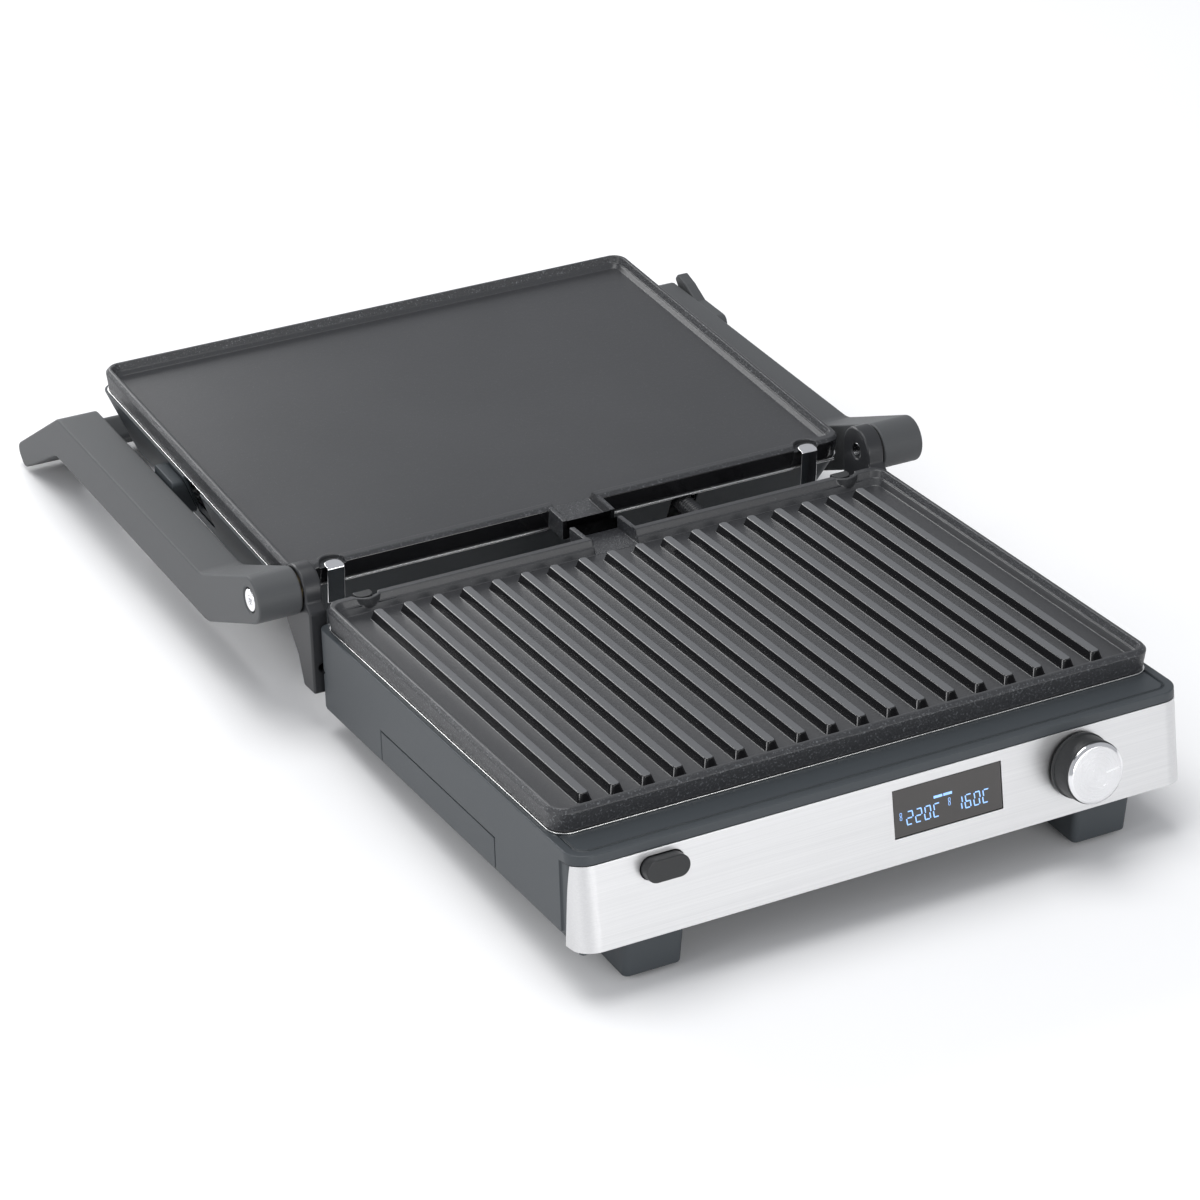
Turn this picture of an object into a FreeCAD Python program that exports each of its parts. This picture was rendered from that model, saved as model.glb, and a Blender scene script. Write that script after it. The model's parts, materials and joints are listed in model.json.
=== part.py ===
# Contact grill (panini press) opened flat: base with a ribbed plate, lid with a flat plate.
# The base frame has x across, y = 0 on the main hinge line (rear is +y) and z = 0 on the
# lower plate's rim. Every part is built there, or in the lid or panel frame that hangs on it,
# and is then placed with the lean that the taller front feet give the base.
import FreeCAD, Part
import Sketcher
import math
import os
from FreeCAD import Placement, Rotation, Vector

os.makedirs("parts", exist_ok=True)
doc = FreeCAD.newDocument("contact_grill")

# ---------------------------------------------------------------- driving dimensions (mm)
DIMENSIONS = [
    ("plateWidth", 300.0), ("plateDepth", 234.2), ("plateSkirt", 11.0), ("cornerRound", 9.0),
    ("halfGap", 16.6), ("rimWidth", 3.4), ("flangeWidth", 5.2), ("lowerFloor", 6.6),
    ("upperFloor", 5.4), ("shoulder", 1.9), ("rimSlope", 1.3),
    ("slopeTall", 3.4), ("floorSlope", 1.5), ("ribCount", 18), ("ribPitch", 15.1), ("ribFoot", 7.2), ("ribCrest", 4.4),
    ("ribRise", 4.2), ("ribMargin", 14.0), ("spoutHalf", 11.5), ("spoutWall", 2.6),
    ("spoutReach", 13.4), ("notchRound", 6.5), ("notchOffset", 128.0), ("notchDrop", 2.4),
    ("baseHalf", 151.6), ("deckDrop", 12.0), ("baseDrop", 52.5), ("baseRear", 16.0),
    ("wallThick", 2.6), ("panelTopY", 271.0), ("panelTopZ", 16.5), ("panelTall", 39.3),
    ("panelRound", 10.0), ("sheetThick", 0.8), ("panelLean", 7.3),
    ("windowLeft", 1.0), ("windowRight", 56.0), ("windowTop", 5.0), ("windowBottom", 27.4),
    ("knobX", 95.0), ("knobDrop", 16.6), ("knobRound", 14.6), ("knobOut", 15.5),
    ("buttonX", -111.0), ("buttonDrop", 8.1), ("buttonWide", 20.6), ("buttonTall", 10.0),
    ("trayFront", 195.0), ("trayRear", 81.5), ("trayTop", 37.5), ("trayReach", 58.0),
    ("armInner", 156.0), ("armWide", 22.0), ("hingeHigh", 1.0), ("barrelRound", 11.5),
    ("boltRound", 4.0), ("runFit", 0.05), ("bracketInner", 146.2), ("bracketOuter", 155.2),
    ("lidTilt", 5.04), ("lidRise", 1.9), ("lidDeep", 43.5), ("lidTaper", 12.0),
    ("pivotY", 155.1), ("pivotDrop", 28.2), ("baseLean", 3.3), ("groundDrop", 65.19),
    ("centreShift", -5.71), ("sideShift", -4.0), ("elementRound", 3.3),
    ("conduitX", 62.0), ("conduitRound", 4.6), ("leadRound", 3.2),
]
sheet = doc.addObject("Spreadsheet::Sheet", "Dims")
for row, (alias, number) in enumerate(DIMENSIONS, start=1):
    sheet.set("A%d" % row, alias)
    sheet.set("B%d" % row, repr(float(number)))
    sheet.setAlias("B%d" % row, alias)
doc.recompute()


class Size:
    """A length that carries both its number and the spreadsheet formula behind it."""

    def __init__(self, value, text):
        self.value, self.text = float(value), text

    def __add__(self, other):
        other = size(other)
        return Size(self.value + other.value, "(%s + %s)" % (self.text, other.text))

    def __sub__(self, other):
        other = size(other)
        return Size(self.value - other.value, "(%s - %s)" % (self.text, other.text))

    def __mul__(self, other):
        other = size(other)
        return Size(self.value * other.value, "(%s * %s)" % (self.text, other.text))

    def __truediv__(self, other):
        other = size(other)
        return Size(self.value / other.value, "(%s / %s)" % (self.text, other.text))

    def __neg__(self):
        return Size(-self.value, "(0 - %s)" % self.text)

    def __radd__(self, other):
        return size(other) + self

    def __rsub__(self, other):
        return size(other) - self

    def __rmul__(self, other):
        return size(other) * self


def size(value):
    return value if isinstance(value, Size) else Size(value, "(%s)" % repr(float(value)))


class Sheet:
    """Reads dims.plateWidth and the like as Size values."""

    def __getattr__(self, alias):
        return Size(sheet.get(alias), "Dims.%s" % alias)


dims = Sheet()


def bind(obj, prop, value):
    value = size(value)
    obj.setExpression(prop, value.text)


# ---------------------------------------------------------------- frames
baseFrame = Placement(Vector(dims.sideShift.value, dims.centreShift.value,
                             dims.groundDrop.value),
                      Rotation(Vector(1, 0, 0), -dims.baseLean.value))
lidHang = Placement(Vector(0, dims.halfGap.value, dims.lidRise.value),
                    Rotation(Vector(1, 0, 0), dims.lidTilt.value))
lidOrigin = Placement(Vector(0, -dims.halfGap.value, 0), Rotation())
lidInBase = lidHang.multiply(lidOrigin)
lidFrame = baseFrame.multiply(lidInBase)
panelInBase = Placement(Vector(0, -dims.panelTopY.value, -dims.panelTopZ.value),
                        Rotation(Vector(1, 0, 0), -dims.panelLean.value))
panelFrame = baseFrame.multiply(panelInBase)


# ---------------------------------------------------------------- solids
def box(name, x0, x1, y0, y1, z0, z1):
    solid = doc.addObject("Part::Box", name)
    corners = ((x0, x1, "Length", "x"), (y0, y1, "Width", "y"), (z0, z1, "Height", "z"))
    for low, high, prop, axis in corners:
        bind(solid, prop, size(high) - low)
        bind(solid, "Placement.Base.%s" % axis, low)
    return solid


def wedge(name, bottom, top, z0, z1):
    """A block whose lower and upper faces, each (x0, x1, y0, y1), differ in size."""
    solid = doc.addObject("Part::Wedge", name)
    bind(solid, "Ymin", z0)
    bind(solid, "Ymax", z1)
    for face, mark in ((bottom, ""), (top, "2")):
        bind(solid, "X%smin" % mark, face[0])
        bind(solid, "X%smax" % mark, face[1])
        bind(solid, "Z%smin" % mark, -size(face[3]))
        bind(solid, "Z%smax" % mark, -size(face[2]))
    solid.Placement = Placement(Vector(), Rotation(Vector(1, 0, 0), 90))
    return solid


AXIS_TURNS = {"x": Rotation(Vector(0, 1, 0), 90), "y": Rotation(Vector(1, 0, 0), -90),
              "z": Rotation()}


def cylinder(name, radius, axis, start, length):
    """A round bar from the point start, along +x, +y or +z."""
    solid = doc.addObject("Part::Cylinder", name)
    bind(solid, "Radius", radius)
    bind(solid, "Height", length)
    solid.Placement = Placement(Vector(), AXIS_TURNS[axis])
    for value, letter in zip(start, "xyz"):
        bind(solid, "Placement.Base.%s" % letter, value)
    return solid


def cone(name, radius0, radius1, axis, start, length):
    solid = doc.addObject("Part::Cone", name)
    bind(solid, "Radius1", radius0)
    bind(solid, "Radius2", radius1)
    bind(solid, "Height", length)
    solid.Placement = Placement(Vector(), AXIS_TURNS[axis])
    for value, letter in zip(start, "xyz"):
        bind(solid, "Placement.Base.%s" % letter, value)
    return solid


def fuse(name, *solids):
    joined = doc.addObject("Part::MultiFuse", name)
    joined.Shapes = list(solids)
    joined.Refine = True
    return joined


def cut(name, base, *tools):
    tool = tools[0] if len(tools) == 1 else fuse(name + "_tools", *tools)
    result = doc.addObject("Part::Cut", name)
    result.Base, result.Tool = base, tool
    result.Refine = True
    return result


def common(name, first, second):
    result = doc.addObject("Part::MultiCommon", name)
    result.Shapes = [first, second]
    return result


def group(name, solids):
    result = doc.addObject("Part::Compound", name)
    result.Links = list(solids)
    return result


def edgeNumbers(shape, test):
    """Numbers of the straight edges whose direction and middle pass the test."""
    chosen = []
    for number, edge in enumerate(shape.Edges, start=1):
        if edge.Curve.TypeId != "Part::GeomLine":
            continue
        first, last = edge.Vertexes[0].Point, edge.Vertexes[-1].Point
        if test((last - first).normalize(), (first + last) * 0.5):
            chosen.append(number)
    return chosen


def fillet(name, base, radius, test):
    """Rounds the straight edges of base that pass the test."""
    doc.recompute()
    radius = size(radius).value
    result = doc.addObject("Part::Fillet", name)
    result.Base = base
    result.Edges = [(number, radius, radius) for number in edgeNumbers(base.Shape, test)]
    return result


def chamfer(name, base, width, test):
    doc.recompute()
    made = doc.addObject("Part::Chamfer", name)
    made.Base = base
    made.Edges = [(number, size(width).value, size(width).value)
                  for number in edgeNumbers(base.Shape, test)]
    return made


def upright(direction, middle):
    return abs(direction.z) > 0.8


def steep(direction, middle):
    return abs(direction.z) > 0.6


PLANES = {"xy": "XY_Plane", "xz": "XZ_Plane", "yz": "YZ_Plane"}


def padBody(name, plane, points, start, length, rounds=()):
    """A PartDesign body: a closed outline on an origin plane, padded from start for length.

    rounds is a list of (corner numbers, radius) for the pad's long edges."""
    body = doc.addObject("PartDesign::Body", name)
    sketch = body.newObject("Sketcher::SketchObject", name + "_outline")
    originPlane = [p for p in body.Origin.OriginFeatures if p.Role == PLANES[plane]][0]
    sketch.AttachmentSupport = [(originPlane, "")]
    sketch.MapMode = "FlatFace"
    bind(sketch, "AttachmentOffset.Base.z", start)
    corners = [(size(a), size(b)) for a, b in points]
    count = len(corners)
    for index in range(count):
        a0, b0 = corners[index]
        a1, b1 = corners[(index + 1) % count]
        line = Part.LineSegment(Vector(a0.value, b0.value, 0), Vector(a1.value, b1.value, 0))
        sketch.addGeometry(line, False)
    sketchConstraints(sketch, corners)
    pad = body.newObject("PartDesign::Pad", name + "_pad")
    pad.Profile = sketch
    bind(pad, "Length", length)
    doc.recompute()
    along = {"xy": Vector(0, 0, 1), "xz": Vector(0, 1, 0), "yz": Vector(1, 0, 0)}[plane]
    for step, (numbers, radius) in enumerate(rounds):
        last = body.Tip
        picked = []
        for number, edge in enumerate(last.Shape.Edges, start=1):
            if edge.Curve.TypeId != "Part::GeomLine":
                continue
            first, end = edge.Vertexes[0].Point, edge.Vertexes[-1].Point
            if abs((end - first).normalize().dot(along)) < 0.99:
                continue
            place = {"xy": (first.x, first.y), "xz": (first.x, first.z),
                     "yz": (first.y, first.z)}[plane]
            for corner in numbers:
                a, b = corners[corner]
                if math.hypot(place[0] - a.value, place[1] - b.value) < 0.05:
                    picked.append("Edge%d" % number)
        rounding = body.newObject("PartDesign::Fillet", "%s_round%d" % (name, step))
        rounding.Base = (last, picked)
        bind(rounding, "Radius", radius)
        body.Tip = rounding
        doc.recompute()
    return body


def sketchConstraints(sketch, corners):
    """Joins the lines end to end and pins every corner to the sheet's values."""
    count = len(corners)
    for index in range(count):
        sketch.addConstraint(Sketcher.Constraint("Coincident", index, 2, (index + 1) % count, 1))
    for index, corner in enumerate(corners):
        for kind, value in zip(("DistanceX", "DistanceY"), corner):
            if abs(value.value) < 1e-6:
                axis = -2 if kind == "DistanceX" else -1
                sketch.addConstraint(Sketcher.Constraint("PointOnObject", index, 1, axis))
                continue
            spot = sketch.addConstraint(
                Sketcher.Constraint(kind, -1, 1, index, 1, value.value))
            sketch.setExpression("Constraints[%d]" % spot, value.text)


subParts = []


def part(label, solid, frame=baseFrame):
    """Names a finished sub-part and puts it in the whole object's frame."""
    if solid.TypeId in ("Part::Box", "Part::Cylinder", "Part::Wedge", "Part::Cone"):
        solid = group(label + "_group", [solid])
    solid.Label = label
    solid.Placement = frame
    subParts.append(solid)
    return solid


# ---------------------------------------------------------------- cooking plates
def plateRect(inset, side, hingeInset=None):
    """Plan rectangle (x0, x1, y0, y1) of a plate on one side of the hinge line."""
    half = dims.plateWidth / 2 - inset
    near = dims.halfGap + (inset if hingeInset is None else hingeInset)
    far = dims.halfGap + dims.plateDepth - inset
    return (-half, half, near, far) if side > 0 else (-half, half, -far, -near)


def span(side, near, far):
    """A y range from near to far off the hinge line, on the given side."""
    return (near, far) if side > 0 else (-size(far), -size(near))


def cookingPlate(label, side, frame, ribbed):
    """Cast plate: drafted skirt, drafted hollow, drain spout, clip notches and ribs."""
    floorDrop = dims.lowerFloor if ribbed else dims.upperFloor
    skirt = fillet(label + "_skirt", wedge(label + "_block", plateRect(1.2, side),
                   plateRect(0, side), -dims.plateSkirt, 0), dims.cornerRound, upright)
    skirt = chamfer(label + "_brow", skirt, dims.shoulder,
                    lambda way, mid: abs(mid.z) < 0.01)
    rim, flange, slope = dims.rimWidth, dims.flangeWidth, dims.rimSlope
    upper = wedge(label + "_upper", plateRect(rim + slope, side, flange + slope),
                  plateRect(rim, side, flange), -dims.slopeTall, 0.01)
    upper = fillet(label + "_upper_round", upper, 6, steep)
    ledge, deep = slope + 0.6, slope + 0.6 + dims.floorSlope
    lower = wedge(label + "_lower", plateRect(rim + deep, side, flange + deep),
                  plateRect(rim + ledge, side, flange + ledge), -floorDrop,
                  0.01 - dims.slopeTall)
    lower = fillet(label + "_lower_round", lower, 5, steep)
    hollow = fuse(label + "_hollow", upper, lower)
    reach = span(side, dims.halfGap - dims.spoutReach, dims.halfGap + 2)
    outer = dims.spoutHalf + dims.spoutWall
    trough = box(label + "_trough", -outer, outer, reach[0], reach[1], -dims.plateSkirt, -0.6)
    channelSpan = span(side, 0, dims.halfGap + flange + deep)
    channel = box(label + "_channel", -dims.spoutHalf, dims.spoutHalf,
                  channelSpan[0], channelSpan[1], -floorDrop, 2)
    notches = [cylinder("%s_notch%d" % (label, hand), dims.notchRound, "z",
                        (dims.notchOffset * hand, dims.halfGap * side, -dims.notchDrop), 5)
               for hand in (-1, 1)]
    rings = [cylinder("%s_ring%d" % (label, hand), dims.notchRound + 1.5, "z",
                      (dims.notchOffset * hand, dims.halfGap * side, -dims.plateSkirt),
                      dims.plateSkirt) for hand in (-1, 1)]
    nearFlange = span(side, dims.halfGap + 2.4, dims.halfGap + 12)
    block = box(label + "_ring_block", -dims.plateWidth / 2, dims.plateWidth / 2,
                nearFlange[0], nearFlange[1], -dims.plateSkirt, 0)
    rings = common(label + "_rings", fuse(label + "_ring_pair", *rings), block)
    cast = cut(label + "_basin", fuse(label + "_cast", skirt, trough), hollow, channel)
    solid = cut(label + "_pan", fuse(label + "_ringed", cast, rings), *notches)
    if ribbed:
        near, far = dims.ribMargin + dims.halfGap, dims.halfGap + dims.plateDepth
        reach = span(side, near, far - dims.ribMargin + 1)
        ribs = []
        for index in range(int(sheet.get("ribCount"))):
            middle = dims.ribPitch * (index - (sheet.get("ribCount") - 1) / 2)
            foot, crest = dims.ribFoot / 2, dims.ribCrest / 2
            rib = wedge("%s_rib%d" % (label, index),
                        (middle - foot, middle + foot, reach[0], reach[1]),
                        (middle - crest, middle + crest, reach[0] + 1.4, reach[1] - 1.4),
                        -floorDrop - 0.5, dims.ribRise - floorDrop)
            ribs.append(fillet("%s_rib_round%d" % (label, index), rib, 2.0, steep))
        solid = fuse(label + "_ribbed", solid, *ribs)
    return part(label, solid, frame)


cookingPlate("lower_grill_plate", -1, baseFrame, True)
cookingPlate("upper_griddle_plate", 1, lidFrame, False)

PAN_TOP = dims.plateSkirt + 0.1


def reflectorPan(label, side, frame):
    """Thin bright sheet pan under a plate, with a flange that carries the plate's skirt."""
    top, deep = PAN_TOP, PAN_TOP + 14.5
    flange = wedge(label + "_flange", plateRect(0.6, side), plateRect(0.6, side),
                   -top - dims.sheetThick, -top)
    flange = fillet(label + "_flange_round", flange, dims.cornerRound, upright)
    bowl = wedge(label + "_bowl", plateRect(18, side), plateRect(14, side), -deep, -top - 0.1)
    inside = wedge(label + "_inside", plateRect(18.8, side), plateRect(14.8, side),
                   dims.sheetThick - deep, 1 - top)
    return part(label, cut(label + "_sheet", fuse(label + "_blank", flange, bowl), inside), frame)


reflectorPan("lower_reflector_pan", -1, baseFrame)
reflectorPan("upper_reflector_pan", 1, lidFrame)


def heatingElement(label, side, frame):
    """Four straight runs of tube joined by three half rings, just under the plate's floor."""
    bend, tube = 35.0, dims.elementRound
    low = -PAN_TOP - tube - 0.4
    near, far = dims.halfGap + 62, dims.halfGap + dims.plateDepth - 62
    pieces = []
    for index, column in enumerate((-3, -1, 1, 3)):
        start = near - 26 if index in (0, 3) else near
        reach = span(side, start, far)
        pieces.append(cylinder("%s_run%d" % (label, index), tube, "y",
                               (column * bend, reach[0], low), reach[1] - reach[0]))
    for index, (column, end) in enumerate(((-2, far), (0, near), (2, far))):
        ring = doc.addObject("Part::Torus", "%s_bend%d" % (label, index))
        bind(ring, "Radius1", bend)
        bind(ring, "Radius2", tube)
        ring.Angle3 = 180
        outward = (end is far) == (side > 0)
        ring.Placement = Placement(Vector(column * bend, end.value * side, low.value),
                                   Rotation(Vector(0, 0, 1), 0 if outward else 180))
        pieces.append(ring)
    return part(label, fuse(label + "_tube", *pieces), frame)


heatingElement("lower_heating_element", -1, baseFrame)
heatingElement("upper_heating_element", 1, lidFrame)


def temperatureSensor(label, side, frame):
    middle = (0, (dims.halfGap + 134) * side, -PAN_TOP - 13.4)
    base = cylinder(label + "_base", 9, "z", middle, 7)
    head = cylinder(label + "_head", 5.5, "z", middle, 13.2)
    return part(label, fuse(label + "_cup", base, head), frame)


temperatureSensor("lower_temperature_sensor", -1, baseFrame)
temperatureSensor("upper_temperature_sensor", 1, lidFrame)


def plateClips(label, side, frame):
    """Sprung straps whose hooks sit in the notches of a plate's hinge-side flange."""
    inner, strap, hook = dims.halfGap - 2.4, 1.2, dims.halfGap + 3.4
    low, top = -dims.notchDrop + 0.1, -dims.notchDrop + 1.4
    outline = [(inner - strap, -20), (inner, -20), (inner, low), (hook, low), (hook, top),
               (inner - 0.4, top), (inner - strap, top - 1.0)]
    clips = []
    for hand in (-1, 1):
        points = [(size(a) * side, b) for a, b in outline]
        name = "%s_%s" % (label, "left" if hand < 0 else "right")
        strap = padBody(name, "yz", points, dims.notchOffset * hand - 4.4, 8.8)
        clips.append(fillet(name + "_round", strap, 3.8,
                            lambda way, mid: abs(way.z) > 0.9 and mid.z > -4))
    return part(label, group(label + "_pair", clips), frame)


plateClips("lower_plate_clips", -1, baseFrame)
plateClips("upper_plate_clips", 1, lidFrame)

# ---------------------------------------------------------------- base casing
PANEL_LOW = -dims.panelTall


def ovalPair(name, middle, drop, wide, tall, start, length):
    """A straight-sided oval bar along y, centred at (middle, -drop)."""
    end = tall / 2
    bar = box(name + "_bar", middle - wide / 2 + end, middle + wide / 2 - end,
              start, size(start) + length, -drop - end, -drop + end)
    rounds = [cylinder("%s_end%d" % (name, hand), end, "y",
                       (middle + (wide / 2 - end) * hand, start, -drop), length)
              for hand in (-1, 1)]
    return fuse(name, bar, *rounds)


def frontBlock(name, inset, top, low, rear):
    """A block with rounded front corners, in the front panel's frame."""
    block = box(name + "_block", inset - dims.baseHalf, dims.baseHalf - inset,
                inset, rear, low, top)
    return fillet(name, block, dims.panelRound - inset,
                  lambda way, mid: abs(way.z) > 0.9 and mid.y < 8)


# The mains lead leaves low and a little downwards, clear of the handle when the lid lies flat.
glandInBase = Placement(Vector(112, -16, -46.3), Rotation(Vector(1, 0, 0), -1.0))
conduitInBase = Placement(Vector(dims.conduitX.value, -24, -19.6),
                          Rotation(Vector(1, 0, 0), 4.5))


def inBase(solid):
    solid.Placement = panelInBase
    return solid


def baseHousing():
    """Moulded upper casing: four walls and the deck that the lower plate sits in."""
    wall, half = dims.wallThick, dims.baseHalf
    rearBox = box("housing_rear", -half, half, -(dims.panelTopY - 14), -dims.baseRear,
                  -dims.baseDrop, -dims.deckDrop)
    rearBox = fillet("housing_rear_round", rearBox, 5,
                     lambda way, mid: abs(way.z) > 0.9 and mid.y > -20)
    nose = frontBlock("housing_nose", dims.sheetThick, 9, PANEL_LOW - 3, 34)
    lip = frontBlock("housing_lip", size(0), 9, 0.15, 30)
    nose = inBase(fuse("housing_front", nose, lip))
    slab = box("housing_slab", -half, half, -300, -dims.baseRear, -dims.baseDrop, -dims.deckDrop)
    nose = common("housing_nose_level", nose, slab)
    shell = fuse("housing_shell", rearBox, nose)
    inside = box("housing_inside", wall - half, half - wall, -(dims.panelTopY - 16),
                 -dims.baseRear - wall, -dims.baseDrop - 1, -dims.deckDrop - wall)
    insideFront = inBase(frontBlock("housing_inside_front", dims.sheetThick + wall,
                                    size(-0.4), PANEL_LOW - 9, 40))
    roof = box("housing_inside_roof", -half, half, -300, -200, -dims.baseDrop - 9,
               -dims.deckDrop - wall)
    insideFront = common("housing_inside_level", insideFront, roof)
    opening = wedge("housing_opening", plateRect(12, -1), plateRect(12, -1), -30, 0)
    trayHole = box("housing_tray_hole", -half - 5, 10 - half, -dims.trayFront - 0.5,
                   0.5 - dims.trayRear, -dims.baseDrop - 1, 0.5 - dims.trayTop)
    chuteHole = box("housing_chute_hole", -14.8, 14.8, -24, -10, -42, -26)
    glandHole = group("housing_gland_way",
                      [cylinder("housing_gland_hole", 4.9, "y", (0, -8, 0), 12)])
    glandHole.Placement = glandInBase
    conduitHole = group("housing_conduit_way",
                        [cylinder("housing_conduit_hole", 5.4, "y", (0, -1, 0), 13)])
    conduitHole.Placement = conduitInBase
    knobHole = cylinder("housing_knob_hole", 8, "y", (dims.knobX, -2, -dims.knobDrop), 12)
    windowHole = box("housing_window_hole", dims.windowLeft - 1, dims.windowRight + 1, -2, 12,
                     -dims.windowBottom - 1, 1 - dims.windowTop)
    buttonHole = ovalPair("housing_button_hole", dims.buttonX, dims.buttonDrop,
                          dims.buttonWide + 1.2, dims.buttonTall + 1.2, -2, 12)
    fascia = inBase(fuse("housing_fascia_holes", knobHole, windowHole, buttonHole))
    grooveRing = inBase(cut("housing_groove_ring",
                            frontBlock("housing_groove_outer", size(4.4), 9, 0.1, 29),
                            frontBlock("housing_groove_inner", size(5.2), 10, 0, 31)))
    grooveLevel = box("housing_groove_level", -half, half, -300, -200,
                      -dims.deckDrop - 0.45, 1 - dims.deckDrop)
    groove = common("housing_groove", grooveRing, grooveLevel)
    bracketHoles = [cylinder("housing_bracket_hole%d" % hand, 2.0, "y",
                             (dims.bracketInner * hand + 3.4 * hand, -24, -34), 12)
                    for hand in (-1, 1)]
    solid = cut("housing_cut", shell, inside, insideFront, opening, trayHole, chuteHole,
                glandHole, conduitHole, fascia, groove, *bracketHoles)
    return part("base_housing", solid)


baseHousing()


def bottomCover():
    """Flat floor of the base, with a chamfered front edge below the steel panel."""
    half, low = dims.baseHalf - 1.6, -dims.baseDrop - 2.5
    rear, front, top = -dims.baseRear - 0.8, -dims.panelTopY - 4.6, -dims.baseDrop - 0.1
    outline = [(rear, top), (rear, low), (front + 7.4, low), (front + 6.6, low - 2.6),
               (front + 4.2, low - 2.6), (front, low + 1), (front, top)]
    cover = padBody("bottom_cover_plate", "yz", outline, -half, half * 2)
    corners = inBase(frontBlock("bottom_cover_corners", dims.sheetThick + 0.1, 9,
                                PANEL_LOW - 30, 320))
    cover = common("bottom_cover_round", cover, corners)
    vents = [box("bottom_vent%d" % index, 78 + index * 6, 81 + index * 6, -70, -40, -62, -50)
             for index in range(6)]
    holes = [cylinder("bottom_hole%d_%d" % (x, -y), SCREW_BAR + 0.1, "z", (x, y, low - 5), 9)
             for x, y in UNDER_SCREWS]
    return part("base_bottom_cover", cut("bottom_cover_cut", cover, *(vents + holes)))


SCREW_BAR = 1.6
UNDER_SCREWS = [(x, y) for x in (-70, 70) for y in (-215, -60)]


bottomCover()


def frontPanel():
    """Bent stainless sheet that wraps both front corners, with its three openings."""
    outer = frontBlock("panel_outer", size(0), 0, PANEL_LOW, 26)
    inner = frontBlock("panel_inner", dims.sheetThick, 2, PANEL_LOW - 2, 30)
    trim = wedge("panel_trim", (-160, 160, 16, 40), (-160, 160, 6, 40), PANEL_LOW - 1, 1)
    knobHole = cylinder("panel_knob_hole", 5, "y", (dims.knobX, -2, -dims.knobDrop), 5)
    windowHole = box("panel_window_hole", dims.windowLeft, dims.windowRight, -2, 3,
                     -dims.windowBottom, -dims.windowTop)
    buttonHole = ovalPair("panel_button_hole", dims.buttonX, dims.buttonDrop,
                          dims.buttonWide + 0.8, dims.buttonTall + 0.8, -2, 5)
    solid = cut("front_panel_cut", outer, inner, trim, knobHole, windowHole, buttonHole)
    return part("front_panel", solid, panelFrame)


frontPanel()


# ---------------------------------------------------------------- controls
def displayParts():
    left, right = dims.windowLeft + 0.25, dims.windowRight - 0.25
    low, top = 0.25 - dims.windowBottom, -dims.windowTop - 0.25
    part("display_window", box("display_lens", left, right, 0.4, 2.0, low, top), panelFrame)
    part("display_module", box("display_cell", left - 0.5, right + 0.5, 2.2, 7, low - 0.5,
                               top + 0.5), panelFrame)


def knobParts():
    """Rotary control: shaft, black skirt and metal cap turn; the plunger only slides."""
    x, z, out = dims.knobX, -dims.knobDrop, dims.knobOut
    shaft = cylinder("shaft_bar", 3, "y", (x, 4 - out, z), out - 1.1)
    part("knob_shaft", shaft, panelFrame)
    barrel = cylinder("skirt_barrel", dims.knobRound, "y", (x, 2.2 - out, z), out - 3.7)
    ring = cylinder("skirt_ring", dims.knobRound + 0.6, "y", (x, -3.4, z), 1.9)
    bore = cylinder("skirt_bore", 3, "y", (x, 4 - out, z), out)
    part("knob_skirt", cut("skirt_cut", fuse("skirt_body", barrel, ring), bore), panelFrame)
    face = cone("cap_bevel", dims.knobRound - 1.6, dims.knobRound - 0.6, "y", (x, -out, z), 1)
    rim = cylinder("cap_rim", dims.knobRound - 0.6, "y", (x, 1 - out, z), 1.1)
    part("knob_cap", fuse("cap_body", face, rim), panelFrame)
    sleeve = cylinder("plunger_sleeve", 4.4, "y", (x, 1.0, z), 1.9)
    sleeveBore = cylinder("plunger_bore", 3 + dims.runFit, "y", (x, 0, z), 5)
    part("encoder_plunger", cut("plunger_cut", sleeve, sleeveBore), panelFrame)
    case = box("encoder_case", x - 7, x + 7, 4.6, 11, z - 6.5, z + 6.5)
    pins = box("encoder_pins", x - 4, x + 4, 10.9, 13, z - 1, z + 1)
    part("encoder_body", fuse("encoder_joined", case, pins), panelFrame)


def releaseButton(label, spring, middle, drop, outward, frame, wall):
    """Oval push button with a stem, and the coil spring round the stem's inner end.

    outward is -1 where the button faces -y and +1 where it faces +y; wall is the outer
    face's y."""
    def along(near, far):
        ends = (size(wall) - near, size(wall) - far)
        ends = ends if outward < 0 else (size(wall) + near, size(wall) + far)
        return (ends[1], ends[0]) if outward < 0 else ends
    head = along(-2.6, 6)
    cap = ovalPair(label + "_cap", middle, drop, dims.buttonWide, dims.buttonTall, head[0],
                   head[1] - head[0])
    stemSpan = along(-15, -2.5)
    stem = cylinder(label + "_stem", 2.2, "y", (middle, stemSpan[0], -size(drop)),
                    stemSpan[1] - stemSpan[0])
    part(label, fuse(label + "_joined", cap, stem), frame)
    coilSpan = along(-14, -2.9)
    coil = cylinder(spring + "_outer", 4.2, "y", (middle, coilSpan[0], -size(drop)),
                    coilSpan[1] - coilSpan[0])
    core = cylinder(spring + "_core", 3.0, "y", (middle, coilSpan[0] - 1, -size(drop)), 20)
    part(spring, cut(spring + "_coil", coil, core), frame)


def latchPlate(label, middle, drop, wall, outward, frame):
    """Fixed guide that the button's spring pushes against."""
    ends = (size(wall) + 14.1, size(wall) + 16) if outward < 0 else (
        size(wall) - 16, size(wall) - 14.1)
    plate = box(label + "_plate", middle - 9, middle + 9, ends[0], ends[1],
                -size(drop) - 5.4, 5.4 - size(drop))
    hole = cylinder(label + "_hole", 2.2 + 0.3, "y", (middle, ends[0] - 1, -size(drop)), 5)
    part(label, cut(label + "_cut", plate, hole), frame)


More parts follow.
